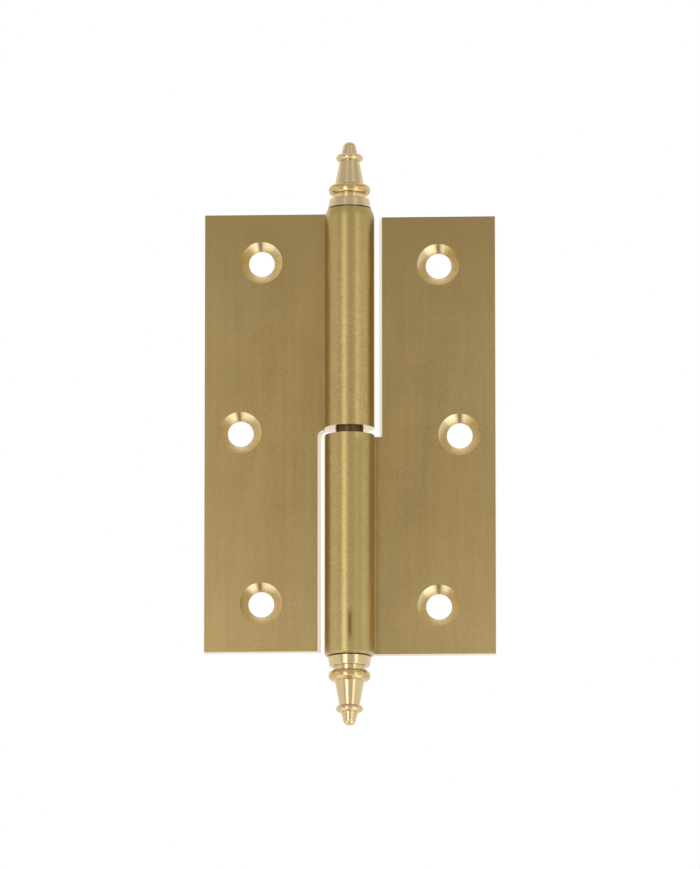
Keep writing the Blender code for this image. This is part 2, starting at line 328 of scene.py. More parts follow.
def satin_brass(name, deep, light, lit_tone, roughness, streak_share, along_axis, marks):
    material, tree, shader = new_metal(name)
    place = add_node(tree, "ShaderNodeTexCoord").outputs["Object"]
    scratches, streaks, clouds, mottle = brushing(tree, place, along_axis)
    mottle_share = 1.0 - CLOUD_SHARE - streak_share
    tone = 0.0
    for noise, share in ((streaks, streak_share), (clouds, CLOUD_SHARE), (mottle, mottle_share)):
        tone = add_node(tree, "ShaderNodeMath", {0: noise, 1: share, 2: tone},
                        operation="MULTIPLY_ADD").outputs[0]
    body = zoned(tree, linear(deep), light, 1.0, [(tone, TONE_DEEP, TONE_LIGHT)])
    body = painted_light_and_marks(tree, place, body, deep, lit_tone, marks)
    tree.links.new(body, shader.inputs["Base Color"])
    satin = add_node(tree, "ShaderNodeMapRange",
                     {"Value": scratches, "From Min": SCRATCH_LOW, "From Max": SCRATCH_HIGH,
                      "To Min": roughness - SATIN_SPREAD, "To Max": roughness + SATIN_SPREAD})
    tree.links.new(satin.outputs[0], shader.inputs["Roughness"])
    grooves = add_node(tree, "ShaderNodeBump", {"Height": scratches, "Strength": SCRATCH_STRENGTH,
                                                "Distance": SCRATCH_DEPTH})
    tree.links.new(grooves.outputs[0], shader.inputs["Normal"])
    shader.inputs["Anisotropic"].default_value = SATIN_ANISOTROPY
    tree.links.new(square_to_brushing(tree, along_axis), shader.inputs["Tangent"])
    return material


# The third and lightest colour of each is painted light: on a barrel's side by its leaf, towards
# the outer edges and at the lower ends.
leaf_brass = satin_brass(
    "satin_brushed_brass", deep="9c8454", light="aa915e", lit_tone="cdb583",
    roughness=0.33, streak_share=0.28, along_axis=True, marks=[])
barrel_brass = satin_brass(
    "satin_turned_brass", deep="b29b62", light="c1aa71", lit_tone="cbb583",
    roughness=0.41, streak_share=0.12, along_axis=False, marks=BARREL_SHADE_AND_MARKS)
print("made", leaf_brass.name, "and", barrel_brass.name)

# %% [markdown]
# ## Bare cut metal
#
# Where a saw or a milling cutter went through after the belt, the brass is bare and brighter: the
# leaning side of each notch, the ends of the leaves and the bores. A cut face has a fine grain and
# no direction, so one small noise moves its colour, its gloss and its relief together. The pin is
# made the same way in other colours: it is drawn steel that has gone dark with grease, and its
# brown is a painted reflection of the brass knuckles round it.

# %% Make the cut brass and the steel
CUT_GRAIN = 0.35 * MM
CUT_SPREAD = 0.05
CUT_DEPTH = 0.01 * MM
CUT_STRENGTH = 0.2


def cut_metal(name, deep, light, roughness):
    material, tree, shader = new_metal(name)
    place = add_node(tree, "ShaderNodeTexCoord").outputs["Object"]
    grain = add_node(tree, "ShaderNodeTexNoise",
                     {"Vector": place, "Scale": 1 / CUT_GRAIN, "Detail": 3.0}).outputs["Fac"]
    body = zoned(tree, linear(deep), light, 1.0, [(grain, 0.0, 1.0)])
    tree.links.new(body, shader.inputs["Base Color"])
    polish = add_node(tree, "ShaderNodeMapRange",
                      {"Value": grain, "To Min": roughness - CUT_SPREAD,
                       "To Max": roughness + CUT_SPREAD})
    tree.links.new(polish.outputs[0], shader.inputs["Roughness"])
    marks = add_node(tree, "ShaderNodeBump", {"Height": grain, "Strength": CUT_STRENGTH,
                                              "Distance": CUT_DEPTH})
    tree.links.new(marks.outputs[0], shader.inputs["Normal"])
    return material


cut_brass = cut_metal("bright_cut_brass", deep="e0ccab", light="ecdbbc", roughness=0.20)
# The pin's brown is a painted reflection of the brass round it, on steel dark with grease.
pin_steel = cut_metal("greasy_steel_with_painted_reflection", deep="503e28", light="715c3d", roughness=0.38)
print("made", cut_brass.name, "and", pin_steel.name)

# %% [markdown]
# ## Turned rings
#
# A turning tool leaves fine rings. They change along one distance only, so a noise in one
# dimension is enough, and it moves the gloss and the relief together. Real rings are some
# hundredths of a millimetre apart. They are drawn 0.2 mm and more apart, so that they show.

# %% Helper for turned rings
def ringed(tree, shader, distance, spacing, roughness, depth, strength):
    """Gives a shader rings along a distance, in gloss and in relief, and returns their noise."""
    turns = add_node(tree, "ShaderNodeMath", {0: distance, 1: 1 / spacing}, operation="MULTIPLY")
    rings = add_node(tree, "ShaderNodeTexNoise", {"W": turns.outputs[0], "Scale": 1.0,
                                                  "Detail": 2.0},
                     noise_dimensions="1D").outputs["Fac"]
    smoothest, roughest = roughness
    polish = add_node(tree, "ShaderNodeMapRange",
                      {"Value": rings, "To Min": smoothest, "To Max": roughest})
    tree.links.new(polish.outputs[0], shader.inputs["Roughness"])
    grooves = add_node(tree, "ShaderNodeBump", {"Height": rings, "Strength": strength,
                                                "Distance": depth})
    tree.links.new(grooves.outputs[0], shader.inputs["Normal"])
    return rings


print("ring helper ready")

# %% [markdown]
# ## Countersunk brass
#
# A countersink is cut with a tool that turns in the hole, so its rings run round the hole. Every
# face in a hole knows the middle of its hole from an attribute of the mesh, and the rings follow
# the distance from there. It was cut after the belt, so it is brighter than the satin round it.

# %% Make the countersunk brass
RING_SPACING = 0.24 * MM
RING_DEPTH = 0.012 * MM
RING_STRENGTH = 0.3
COUNTERSINK_ROUGHNESS = (0.17, 0.27)


def countersunk_brass(name, deep, light):
    material, tree, shader = new_metal(name)
    place = add_node(tree, "ShaderNodeTexCoord").outputs["Object"]
    middle = add_node(tree, "ShaderNodeAttribute", attribute_name="hole_middle")
    out = add_node(tree, "ShaderNodeVectorMath", {0: place, 1: middle.outputs["Vector"]},
                   operation="SUBTRACT")
    flat = add_node(tree, "ShaderNodeVectorMath", {0: out.outputs[0], 1: (1.0, 0.0, 1.0)},
                    operation="MULTIPLY")
    distance = add_node(tree, "ShaderNodeVectorMath", {0: flat.outputs[0]}, operation="LENGTH")
    rings = ringed(tree, shader, distance.outputs["Value"], RING_SPACING, COUNTERSINK_ROUGHNESS,
                   RING_DEPTH, RING_STRENGTH)
    body = zoned(tree, linear(deep), light, 1.0, [(rings, 0.0, 1.0)])
    tree.links.new(body, shader.inputs["Base Color"])
    return material


countersink_brass = countersunk_brass("countersunk_brass", deep="d8c395", light="e4d2a8")
print("made", countersink_brass.name)

# %% [markdown]
# ## Polished turned brass
#
# A finial is turned on a lathe and polished while it spins, so what rings are left run round it,
# follow its height and are faint. Its wide bead is painted a deeper gold, painted shade for the
# darker reflection it shows, and a slight clouding keeps the rest from looking like plastic.

# %% Make the turned brass
TURNING_SPACING = 0.2 * MM
TURNING_DEPTH = 0.006 * MM
TURNING_STRENGTH = 0.15
FINIAL_ROUGHNESS = (0.16, 0.23)
CLOUDING_SIZE = 2.5 * MM
# The bead between these heights is painted deeper: painted shade.
BEAD_SHADE_STARTS = KNUCKLE_TOP + 3.1 * MM
BEAD_SHADE_ENDS = KNUCKLE_TOP + 5.5 * MM
BEAD_SHADE_FADE = 0.2 * MM


def turned_brass(name, deep, light, bead_shade):
    material, tree, shader = new_metal(name)
    place = add_node(tree, "ShaderNodeTexCoord").outputs["Object"]
    height = add_node(tree, "ShaderNodeSeparateXYZ", {0: place}).outputs["Z"]
    ringed(tree, shader, height, TURNING_SPACING, FINIAL_ROUGHNESS, TURNING_DEPTH,
           TURNING_STRENGTH)
    clouding = add_node(tree, "ShaderNodeTexNoise", {"Vector": place, "Scale": 1 / CLOUDING_SIZE,
                                                     "Detail": 4.0}).outputs["Fac"]
    body = zoned(tree, linear(deep), light, 1.0, [(clouding, 0.0, 1.0)])
    from_middle = add_node(tree, "ShaderNodeMath", {0: height}, operation="ABSOLUTE").outputs[0]
    # Painted shade on the wide bead.
    body = zoned(tree, body, bead_shade, 1.0, [
        (from_middle, BEAD_SHADE_STARTS, BEAD_SHADE_STARTS + BEAD_SHADE_FADE),
        (from_middle, BEAD_SHADE_ENDS, BEAD_SHADE_ENDS - BEAD_SHADE_FADE),
    ])
    tree.links.new(body, shader.inputs["Base Color"])
    return material


finial_brass = turned_brass("polished_turned_brass", deep="cfb78a", light="dac498",
                            bead_shade="ccb07c")
print("made", finial_brass.name)

# %% [markdown]
# ## From modifiers to plain meshes
#
# A finished piece is a plain mesh at the origin, with its place in its points. One function
# evaluates an object with all its modifiers, copies the result, and gives it to the object with
# the modifiers taken off.

# %% Helpers for meshes
def new_piece(name, mesh):
    piece = bpy.data.objects.new(name, mesh)
    bpy.context.scene.collection.objects.link(piece)
    return piece


def settle(piece):
    """Applies the modifiers of a piece for good."""
    bpy.context.view_layer.update()
    evaluated = piece.evaluated_get(bpy.context.evaluated_depsgraph_get())
    mesh = bpy.data.meshes.new_from_object(evaluated)
    mesh.name = piece.name
    piece.modifiers.clear()
    piece.data = mesh


def drop(*things):
    for thing in things:
        bpy.data.objects.remove(thing, do_unlink=True)


def arc(centre, radius, start, end, steps):
    """Points on an arc from one angle to another, both ends included."""
    angles = [start + (end - start) * step / steps for step in range(steps + 1)]
    return [
        (centre[0] + radius * math.cos(angle), centre[1] + radius * math.sin(angle))
        for angle in angles
    ]


print("helpers ready")

# %% [markdown]
# ## A lathe made of Geometry Nodes
#
# Finials, pin, barrels and bores are all turned shapes, so one tree serves them all. It takes a
# profile as points in the XZ plane. A grid with one row for each profile point and one column
# for each step round the axis is bent into shape: each grid point looks up its profile point and
# is turned by its column's angle. The seam and the two poles are then merged.

# %% Build the lathe
MERGE_DISTANCE = 1e-7


def build_lathe():
    tree = bpy.data.node_groups.new("lathe", "GeometryNodeTree")
    face = tree.interface
    face.new_socket("Profile", in_out="INPUT", socket_type="NodeSocketGeometry")
    steps = face.new_socket("Steps round", in_out="INPUT", socket_type="NodeSocketInt")
    points = face.new_socket("Profile points", in_out="INPUT", socket_type="NodeSocketInt")
    metal = face.new_socket("Metal", in_out="INPUT", socket_type="NodeSocketMaterial")
    face.new_socket("Turned piece", in_out="OUTPUT", socket_type="NodeSocketGeometry")
    given = add_node(tree, "NodeGroupInput")
    columns = add_node(tree, "ShaderNodeMath", {0: given.outputs["Steps round"], 1: 1.0})
    sheet = add_node(tree, "GeometryNodeMeshGrid",
                     {"Size X": 1.0, "Size Y": 1.0, "Vertices X": columns.outputs[0],
                      "Vertices Y": given.outputs["Profile points"]})
    index = add_node(tree, "GeometryNodeInputIndex").outputs[0]
    row = add_node(tree, "ShaderNodeMath",
                   {0: index, 1: given.outputs["Profile points"]}, operation="MODULO")
    column = add_node(tree, "ShaderNodeMath",
                      {0: index, 1: given.outputs["Profile points"]}, operation="DIVIDE")
    whole = add_node(tree, "ShaderNodeMath", {0: column.outputs[0]}, operation="FLOOR")
    turn = add_node(tree, "ShaderNodeMath",
                    {0: whole.outputs[0], 1: given.outputs["Steps round"]}, operation="DIVIDE")
    angle = add_node(tree, "ShaderNodeMath", {0: turn.outputs[0], 1: math.tau},
                     operation="MULTIPLY")
    place = add_node(tree, "GeometryNodeInputPosition").outputs[0]
    looked_up = add_node(tree, "GeometryNodeSampleIndex",
                         {"Geometry": given.outputs["Profile"], "Index": row.outputs[0]},
                         data_type="FLOAT_VECTOR", domain="POINT")
    tree.links.new(place, looked_up.inputs["Value"])
    turned = add_node(tree, "ShaderNodeVectorRotate",
                      {"Vector": looked_up.outputs[0], "Angle": angle.outputs[0]},
                      rotation_type="Z_AXIS")
    bent = add_node(tree, "GeometryNodeSetPosition",
                    {"Geometry": sheet.outputs["Mesh"], "Position": turned.outputs[0]})
    closed = add_node(tree, "GeometryNodeMergeByDistance",
                      {"Geometry": bent.outputs[0], "Distance": MERGE_DISTANCE})
    smooth = add_node(tree, "GeometryNodeSetShadeSmooth", {"Geometry": closed.outputs[0]})
    real = add_node(tree, "GeometryNodeRealizeInstances", {"Geometry": smooth.outputs[0]})
    metalled = add_node(tree, "GeometryNodeSetMaterial",
                        {"Geometry": real.outputs[0], "Material": given.outputs["Metal"]})
    add_node(tree, "NodeGroupOutput", {0: metalled.outputs[0]})
    return tree, steps.identifier, points.identifier, metal.identifier


lathe, STEPS_INPUT, POINTS_INPUT, METAL_INPUT = build_lathe()


def turn_on_lathe(name, profile, steps, metal):
    """A profile of (radius, height) points, from its top to its foot, turned about Z."""
    mesh = bpy.data.meshes.new(name)
    mesh.from_pydata([(radius, 0.0, height) for radius, height in profile], [], [])
    piece = new_piece(name, mesh)
    nodes = piece.modifiers.new("Lathe", "NODES")
    nodes.node_group = lathe
    nodes[STEPS_INPUT] = steps
    nodes[POINTS_INPUT] = len(profile)
    nodes[METAL_INPUT] = metal
    settle(piece)
    shape = bmesh.new()
    shape.from_mesh(piece.data)
    bmesh.ops.recalc_face_normals(shape, faces=shape.faces)
    shape.to_mesh(piece.data)
    shape.free()
    return piece


print("lathe nodes:", len(lathe.nodes))

# %% [markdown]
# ## The body of a leaf
#
# A leaf is a flat plate that runs into a round barrel through small fillets. Near its free end the
# barrel has been dressed round, which draws it in along a parabola, so it is turned on the lathe.
# The plate is a flat outline drawn out along the axis, and a Boolean makes one body of the two.

# %% Build the body of a leaf
BARREL_STEPS = 160
FILLET_STEPS = 6
CROWN_STEPS = 16
PAST = 2.0 * MM


def drawn_out(name, outline, low, high):
    """A flat outline in X and Y, drawn out along Z from low to high."""
    shape = bmesh.new()
    foot = [shape.verts.new((x, y, low)) for x, y in outline]
    top = [shape.verts.new((x, y, high)) for x, y in outline]
    shape.faces.new(foot)
    shape.faces.new(top)
    for i in range(len(outline)):
        j = (i + 1) % len(outline)
        shape.faces.new((foot[i], foot[j], top[j], top[i]))
    bmesh.ops.recalc_face_normals(shape, faces=shape.faces)
    mesh = bpy.data.meshes.new(name)
    shape.to_mesh(mesh)
    shape.free()
    return new_piece(name, mesh)


def combine(piece, tool, operation):
    """Joins a tool to a piece with UNION, or takes it away with DIFFERENCE."""
    boolean = piece.modifiers.new(operation.title(), "BOOLEAN")
    boolean.operation = operation
    boolean.solver = "EXACT"
    boolean.object = tool
    settle(piece)
    drop(tool)


def plate_section():
    """Outline of the plate. Its fillets lead into the barrel, where the outline ends unseen."""
    tangent = KNUCKLE_RADIUS + KNUCKLE_FILLET
    front_y = LEAF_FRONT - KNUCKLE_FILLET
    front_x = math.sqrt(tangent**2 - front_y**2)
    back_y = LEAF_BACK + KNUCKLE_FILLET
    back_x = math.sqrt(tangent**2 - back_y**2)
    front_meets = math.atan2(-front_y, front_x)
    back_meets = math.atan2(-back_y, back_x)
    inside = (KNUCKLE_RADIUS + BORE_RADIUS) / 2
    outline = [(-LEAF_REACH, LEAF_FRONT)]
    outline += arc((-front_x, front_y), KNUCKLE_FILLET, math.pi / 2, front_meets, FILLET_STEPS)
    outline.append((-inside * math.cos(front_meets), -inside * math.sin(front_meets)))
    outline.append((-inside * math.cos(back_meets), -inside * math.sin(back_meets)))
    outline += arc((-back_x, back_y), KNUCKLE_FILLET, back_meets, -math.pi / 2, FILLET_STEPS)
    outline.append((-LEAF_REACH, LEAF_BACK))
    return outline


def barrel_profile(crown_depth, crown_height):
    profile = [(0.0, KNUCKLE_TOP)]
    for step in range(CROWN_STEPS + 1):
        down = step / CROWN_STEPS
        radius = KNUCKLE_RADIUS - crown_depth * (1 - down) ** 2
        profile.append((radius, KNUCKLE_TOP - crown_height * down))
    profile.append((KNUCKLE_RADIUS, KNUCKLE_FOOT - PAST))
    profile.append((0.0, KNUCKLE_FOOT - PAST))
    return profile


def leaf_body(name, crown_depth, crown_height):
    body = drawn_out(name, plate_section(), LEAF_FOOT, LEAF_TOP)
    barrel = turn_on_lathe("barrel", barrel_profile(crown_depth, crown_height), BARREL_STEPS,
                           leaf_brass)
    combine(body, barrel, "UNION")
    return body


print("plate outline points:", len(plate_section()))

# %% [markdown]
# ## Cutting the notch and the bore
#
# Each leaf gives way to the other's knuckle in a notch. The notch's side leans, wider in front than
# behind, so a bright line shows along it. Each barrel is bored for the pin. Both are Booleans with
# a cutter that runs past the metal.

# %% Cut the notch and the bore
CORNER_STEPS = 8


def notch_cutter(corner_radius):
    """The notch, with its inner corner rounded as its milling cutter left it."""
    outside = KNUCKLE_RADIUS + PAST
    slope = NOTCH_LEAN / LEAF_THICKNESS
    outline = [
        (-NOTCH_EDGE + slope * (outside - LEAF_BACK), outside),
        (-NOTCH_EDGE - slope * (outside + LEAF_BACK), -outside),
        (outside, -outside),
        (outside, outside),
    ]
    cutter = drawn_out("notch_cutter", outline, LEAF_FOOT - PAST, KNUCKLE_FOOT)
    shape = bmesh.new()
    shape.from_mesh(cutter.data)
    corner = [edge for edge in shape.edges if all(v.co.z > 0 and v.co.x < 0 for v in edge.verts)]
    bmesh.ops.bevel(shape, geom=corner, offset=corner_radius, segments=CORNER_STEPS,
                    profile=0.5, affect="EDGES")
    shape.to_mesh(cutter.data)
    shape.free()
    return cutter


def bore_cutter():
    profile = [
        (0.0, KNUCKLE_TOP + PAST),
        (BORE_RADIUS, KNUCKLE_TOP + PAST),
        (BORE_RADIUS, KNUCKLE_FOOT - PAST),
        (0.0, KNUCKLE_FOOT - PAST),
    ]
    return turn_on_lathe("bore_cutter", profile, BARREL_STEPS, cut_brass)


print("notch edge from the axis (mm):", round(NOTCH_EDGE / MM, 2))

# %% [markdown]
# ## Drilling the screw holes
#
# Three countersunk holes follow a rule: equal steps up the leaf, with the middle one further out.
# A tree makes three points, moves the middle one, puts a drill and a countersink on each and
# takes them out of the leaf. Changing the pitch or a radius is then one number.

# %% Build the drill
HOLE_STEPS = 96
DRILL_LENGTH = 4 * LEAF_THICKNESS


def build_drill():
    tree = bpy.data.node_groups.new("screw_holes", "GeometryNodeTree")
    face = tree.interface
    face.new_socket("Leaf", in_out="INPUT", socket_type="NodeSocketGeometry")
    sizes = [
        ("First hole", "NodeSocketVector"),
        ("Pitch", "NodeSocketFloat"),
        ("Middle further out", "NodeSocketFloat"),
        ("Hole radius", "NodeSocketFloat"),
        ("Countersink radius", "NodeSocketFloat"),
        ("Metal", "NodeSocketMaterial"),
    ]
    sockets = {
        name: face.new_socket(name, in_out="INPUT", socket_type=kind).identifier
        for name, kind in sizes
    }
    face.new_socket("Drilled leaf", in_out="OUTPUT", socket_type="NodeSocketGeometry")
    given = add_node(tree, "NodeGroupInput")
    step = add_node(tree, "ShaderNodeCombineXYZ", {"Z": given.outputs["Pitch"]})
    points = add_node(tree, "GeometryNodeMeshLine",
                      {"Count": 3, "Start Location": given.outputs["First hole"],
                       "Offset": step.outputs[0]})
    index = add_node(tree, "GeometryNodeInputIndex").outputs[0]
    middle = add_node(tree, "FunctionNodeCompare", {2: index, 3: 1}, data_type="INT",
                      operation="EQUAL")
    out = add_node(tree, "ShaderNodeMath", {0: given.outputs["Middle further out"], 1: -1.0},
                   operation="MULTIPLY")
    aside = add_node(tree, "ShaderNodeCombineXYZ", {"X": out.outputs[0]})
    holes = add_node(tree, "GeometryNodeSetPosition",
                     {"Geometry": points.outputs[0], "Selection": middle.outputs[0],
                      "Offset": aside.outputs[0]})
    drill = add_node(tree, "GeometryNodeMeshCylinder",
                     {"Vertices": HOLE_STEPS, "Radius": given.outputs["Hole radius"],
                      "Depth": DRILL_LENGTH})
    tall = add_node(tree, "ShaderNodeMath",
                    {0: given.outputs["Countersink radius"], 1: 2.0}, operation="MULTIPLY")
    cone = add_node(tree, "GeometryNodeMeshCone",
                    {"Vertices": HOLE_STEPS, "Radius Top": tall.outputs[0], "Radius Bottom": 0.0,
                     "Depth": tall.outputs[0]})
    sunk = add_node(tree, "ShaderNodeMath",
                    {0: given.outputs["Countersink radius"], 1: -1.0}, operation="MULTIPLY")
    lowered = add_node(tree, "ShaderNodeCombineXYZ", {"Z": sunk.outputs[0]})
    countersink = add_node(tree, "GeometryNodeTransform",
                           {"Geometry": cone.outputs["Mesh"],
                            "Translation": lowered.outputs[0]})
    upright = (math.radians(90), 0.0, 0.0)
    leaf = given.outputs["Leaf"]
    for tool in (drill.outputs["Mesh"], countersink.outputs[0]):
        placed = add_node(tree, "GeometryNodeInstanceOnPoints",
                          {"Points": holes.outputs[0], "Instance": tool, "Rotation": upright})
        solid = add_node(tree, "GeometryNodeRealizeInstances", {"Geometry": placed.outputs[0]})
        taken = add_node(tree, "GeometryNodeMeshBoolean",
                         {"Mesh 1": leaf, "Mesh 2": solid.outputs[0]},
                         operation="DIFFERENCE", solver="EXACT")
        leaf = taken.outputs[0]
    real = add_node(tree, "GeometryNodeRealizeInstances", {"Geometry": leaf})
    metalled = add_node(tree, "GeometryNodeSetMaterial",
                        {"Geometry": real.outputs[0], "Material": given.outputs["Metal"]})
    add_node(tree, "NodeGroupOutput", {0: metalled.outputs[0]})
    return tree, sockets


screw_holes, HOLE_INPUTS = build_drill()
FIRST_HOLE = (-END_SCREW_FROM_AXIS, LEAF_FRONT, LEAF_MIDDLE - SCREW_PITCH)


def drill_leaf(leaf):
    nodes = leaf.modifiers.new("Drill", "NODES")
    nodes.node_group = screw_holes
    nodes[HOLE_INPUTS["First hole"]] = FIRST_HOLE
    nodes[HOLE_INPUTS["Pitch"]] = SCREW_PITCH
    nodes[HOLE_INPUTS["Middle further out"]] = MIDDLE_SCREW_FROM_AXIS - END_SCREW_FROM_AXIS
    nodes[HOLE_INPUTS["Hole radius"]] = SCREW_HOLE_RADIUS
    nodes[HOLE_INPUTS["Countersink radius"]] = COUNTERSINK_RADIUS
    nodes[HOLE_INPUTS["Metal"]] = leaf_brass
    settle(leaf)


print("drill nodes:", len(screw_holes.nodes))

# %% [markdown]
# ## Rounded edges
#
# No real edge is perfectly sharp. A narrow bevel of two steps lets every edge catch a thin line of
# light, and the modifier finds these edges by their angle.

# %% Round the edges
EDGE_ROUND = 0.12 * MM
EDGE_ANGLE = math.radians(30)
EDGE_STEPS = 2


def round_edges(piece):
    bevel = piece.modifiers.new("Edges", "BEVEL")
    bevel.width = EDGE_ROUND
    bevel.segments = EDGE_STEPS
    bevel.limit_method = "ANGLE"
    bevel.angle_limit = EDGE_ANGLE
    bevel.harden_normals = True
    bevel.use_clamp_overlap = True
    piece.data.shade_smooth()
    settle(piece)


print("edges rounded by (mm):", EDGE_ROUND / MM)

# %% [markdown]
# ## Which face has which finish
#
# The leaf is one mesh, but four finishes meet on it. Each face gets its own from where it lies and
# which way it looks: the rings of a countersink, the bright cut of a notch, an end or a bore, the
# turned satin of the barrel, and the brushed satin for all the rest.

# %% Give each face its finish
LEAF_FINISHES = (leaf_brass, cut_brass, countersink_brass, barrel_brass)
BRUSHED, CUT, COUNTERSUNK, TURNED = range(4)
FACES_FORWARD = 0.95
FACES_UP = 0.8
FACES_SIDEWAYS = 0.3
BARREL_REACH = KNUCKLE_RADIUS + 0.05 * MM
HOLE_MIDDLES = [
    (-END_SCREW_FROM_AXIS, LEAF_MIDDLE - SCREW_PITCH),
    (-MIDDLE_SCREW_FROM_AXIS, LEAF_MIDDLE),
    (-END_SCREW_FROM_AXIS, LEAF_MIDDLE + SCREW_PITCH),
]


def nearest_hole(point):
    return min(HOLE_MIDDLES, key=lambda m: math.hypot(point.x - m[0], point.z - m[1]))


def finish_of(centre, normal, from_hole):
    """Which finish a face has, from its middle, its normal and its distance from a screw hole."""
    from_axis = math.hypot(centre.x, centre.y)
    if from_hole < COUNTERSINK_RADIUS + EDGE_ROUND and abs(normal.y) < FACES_FORWARD:
        return COUNTERSUNK
    at_end = abs(normal.z) > FACES_UP and centre.z < KNUCKLE_TOP - EDGE_ROUND
    in_bore = from_axis < BORE_RADIUS + EDGE_ROUND
    in_notch = normal.x > FACES_SIDEWAYS and centre.z < KNUCKLE_FOOT
    near_notch_side = abs(centre.x + NOTCH_EDGE + NOTCH_LEAN / 2) < NOTCH_LEAN
    if at_end or in_bore or (in_notch and near_notch_side):
        return CUT
    if centre.z > KNUCKLE_FOOT - EDGE_ROUND and from_axis < BARREL_REACH:
        return TURNED
    return BRUSHED


def give_finishes(leaf):
    """Gives every face its material and, in the attribute hole_middle, its nearest screw hole."""
    mesh = leaf.data
    mesh.materials.clear()
    for metal in LEAF_FINISHES:
        mesh.materials.append(metal)
    middles = mesh.attributes.new("hole_middle", "FLOAT_VECTOR", "FACE")
    for face in mesh.polygons:
        x, z = nearest_hole(face.center)
        middles.data[face.index].vector = (x, LEAF_FRONT, z)
        from_hole = math.hypot(face.center.x - x, face.center.z - z)
        face.material_index = finish_of(face.center, face.normal, from_hole)


print("finishes of a leaf:", [metal.name for metal in LEAF_FINISHES])

# %% [markdown]
# ## The two leaves
#
# Both are made by the same function, and differ only in how their barrel's end is dressed and how
# the notch's corner is rounded. The lower one is then given half a turn about Y in its mesh, so
# that its knuckle is the lower one and its countersinks still face the viewer.

# %% Make the two leaves
def make_leaf(name, crown_depth, crown_height, corner_radius):
    leaf = leaf_body(name, crown_depth, crown_height)
    combine(leaf, notch_cutter(corner_radius), "DIFFERENCE")
    combine(leaf, bore_cutter(), "DIFFERENCE")
    drill_leaf(leaf)
    round_edges(leaf)
    give_finishes(leaf)
    print(name, "faces:", len(leaf.data.polygons))
    return leaf


upper_leaf = make_leaf("upper_leaf_brass", crown_depth=0.65 * MM, crown_height=2.4 * MM,
                       corner_radius=1.5 * MM)
lower_leaf = make_leaf("lower_leaf_brass", crown_depth=0.5 * MM, crown_height=0.7 * MM,
                       corner_radius=0.3 * MM)
half_turn = Matrix.Rotation(math.pi, 4, "Y")
lower_leaf.data.transform(half_turn)
middles = lower_leaf.data.attributes["hole_middle"]
for item in middles.data:
    item.vector = half_turn @ Vector(item.vector)

# %% [markdown]
# ## The finials
#
# From its seat up: a slightly tapered collar, a neck, a round bead, a long cone, a small ring and
# a domed tip. Below the seat a plain shank plugs the bore. The seat stands just clear of the
# knuckle, which leaves the thin dark joint that a real finial has.

# %% Sizes of a finial
COLLAR_RADIUS = 4.85 * MM
COLLAR_TAPER = 0.3 * MM
COLLAR_HEIGHT = 2.05 * MM
COLLAR_EDGE = 0.25 * MM
NECK_RADIUS = 3.65 * MM
NECK_HEIGHT = 1.1 * MM
BEAD_FACE_RADIUS = 4.1 * MM
BEAD_RADIUS = 4.7 * MM
BEAD_WIDEST = 1.05 * MM
BEAD_HEIGHT = 2.3 * MM
CONE_FOOT_RADIUS = 3.27 * MM
CONE_TOP_RADIUS = 2.25 * MM
CONE_HEIGHT = 5.4 * MM
RING_RADIUS = 3.05 * MM
RING_WIDEST = 0.8 * MM
RING_HEIGHT = 1.65 * MM
TIP_FOOT_RADIUS = 1.87 * MM
TIP_STRAIGHT = 1.4 * MM
TIP_DOME_RADIUS = 1.5 * MM
SHANK_LENGTH = 8.3 * MM
SHANK_CHAMFER = 0.4 * MM
SEAT_GAP = 0.3 * MM
FINIAL_SEAT = KNUCKLE_TOP + SEAT_GAP
FINIAL_HEIGHT = (COLLAR_HEIGHT + NECK_HEIGHT + BEAD_HEIGHT + CONE_HEIGHT + RING_HEIGHT
                 + TIP_STRAIGHT + TIP_DOME_RADIUS)
print("finial stands above its seat by (mm):", round(FINIAL_HEIGHT / MM, 2))

# %% [markdown]
# ## Turning the finials
#
# The profile is written once, from the tip down, and turned on the lathe. The bottom finial is the
# same profile given half a turn. Corners over 35 degrees stay sharp, and the rest is shaded smooth.

# %% Make the finials
FINIAL_STEPS = 128
SWELL_STEPS = 12
DOME_STEPS = 16
RIM_STEPS = 6
SHARP_ANGLE = math.radians(35)


def swell(rim, top_radius, foot_radius, foot, widest, height):
    """A bead's points from top to foot: two quarter ellipses, joined where it is widest."""
    quarter = arc((0.0, 0.0), 1.0, math.pi / 2, 0.0, SWELL_STEPS)
    above = [(top_radius + (rim - top_radius) * x, foot + widest + (height - widest) * y)
             for x, y in quarter]
    below = [(foot_radius + (rim - foot_radius) * x, foot + widest - widest * y)
             for x, y in quarter]
    below.reverse()
    return above + below[1:]


def finial_profile():
    neck = COLLAR_HEIGHT
    bead = neck + NECK_HEIGHT
    cone = bead + BEAD_HEIGHT
    ring = cone + CONE_HEIGHT
    tip = ring + RING_HEIGHT
    profile = arc((0.0, tip + TIP_STRAIGHT), TIP_DOME_RADIUS, math.pi / 2, 0.0, DOME_STEPS)
    profile[0] = (0.0, profile[0][1])
    profile += swell(RING_RADIUS, TIP_FOOT_RADIUS, CONE_TOP_RADIUS, ring, RING_WIDEST,
                     RING_HEIGHT)
    profile += swell(BEAD_RADIUS, CONE_FOOT_RADIUS, BEAD_FACE_RADIUS, bead, BEAD_WIDEST,
                     BEAD_HEIGHT)
    profile.append((NECK_RADIUS, bead))
    profile.append((NECK_RADIUS, neck))
    rim = COLLAR_RADIUS - COLLAR_TAPER - COLLAR_EDGE
    profile += arc((rim, neck - COLLAR_EDGE), COLLAR_EDGE, math.pi / 2, 0.0, RIM_STEPS)
    profile.append((COLLAR_RADIUS, 0.0))
    profile.append((PIN_RADIUS, 0.0))
    profile.append((PIN_RADIUS, SHANK_CHAMFER - SHANK_LENGTH))
    profile.append((PIN_RADIUS - SHANK_CHAMFER, -SHANK_LENGTH))
    profile.append((0.0, -SHANK_LENGTH))
    return profile


